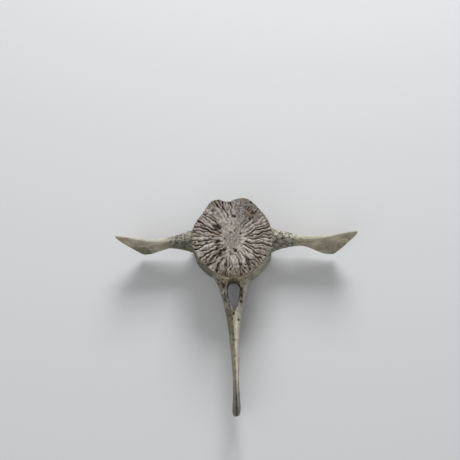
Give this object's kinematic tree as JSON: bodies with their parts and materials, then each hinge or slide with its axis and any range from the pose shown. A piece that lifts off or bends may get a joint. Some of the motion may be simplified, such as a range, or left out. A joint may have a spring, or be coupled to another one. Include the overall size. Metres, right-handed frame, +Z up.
{
  "type": "dolphin tail vertebra",
  "caption": "Single dry vertebra from a dolphin's tail: a short ridged drum with two flat side wings and one long spine, pierced by a teardrop canal.",
  "frame": {"origin": "middle of the head-side end of the vertebra's body, on the surface the bone lies on", "axes": "+Z up, from the head-side end to the tail-side end; -Y along the neural spine, towards the animal's back; +X to the animal's left"},
  "size_m": [0.1352, 0.1194, 0.028],
  "materials": {
    "bone": "matte"
  },
  "bodies": {
    "root": {"vertebra": "bone"}
  },
  "joints": []
}
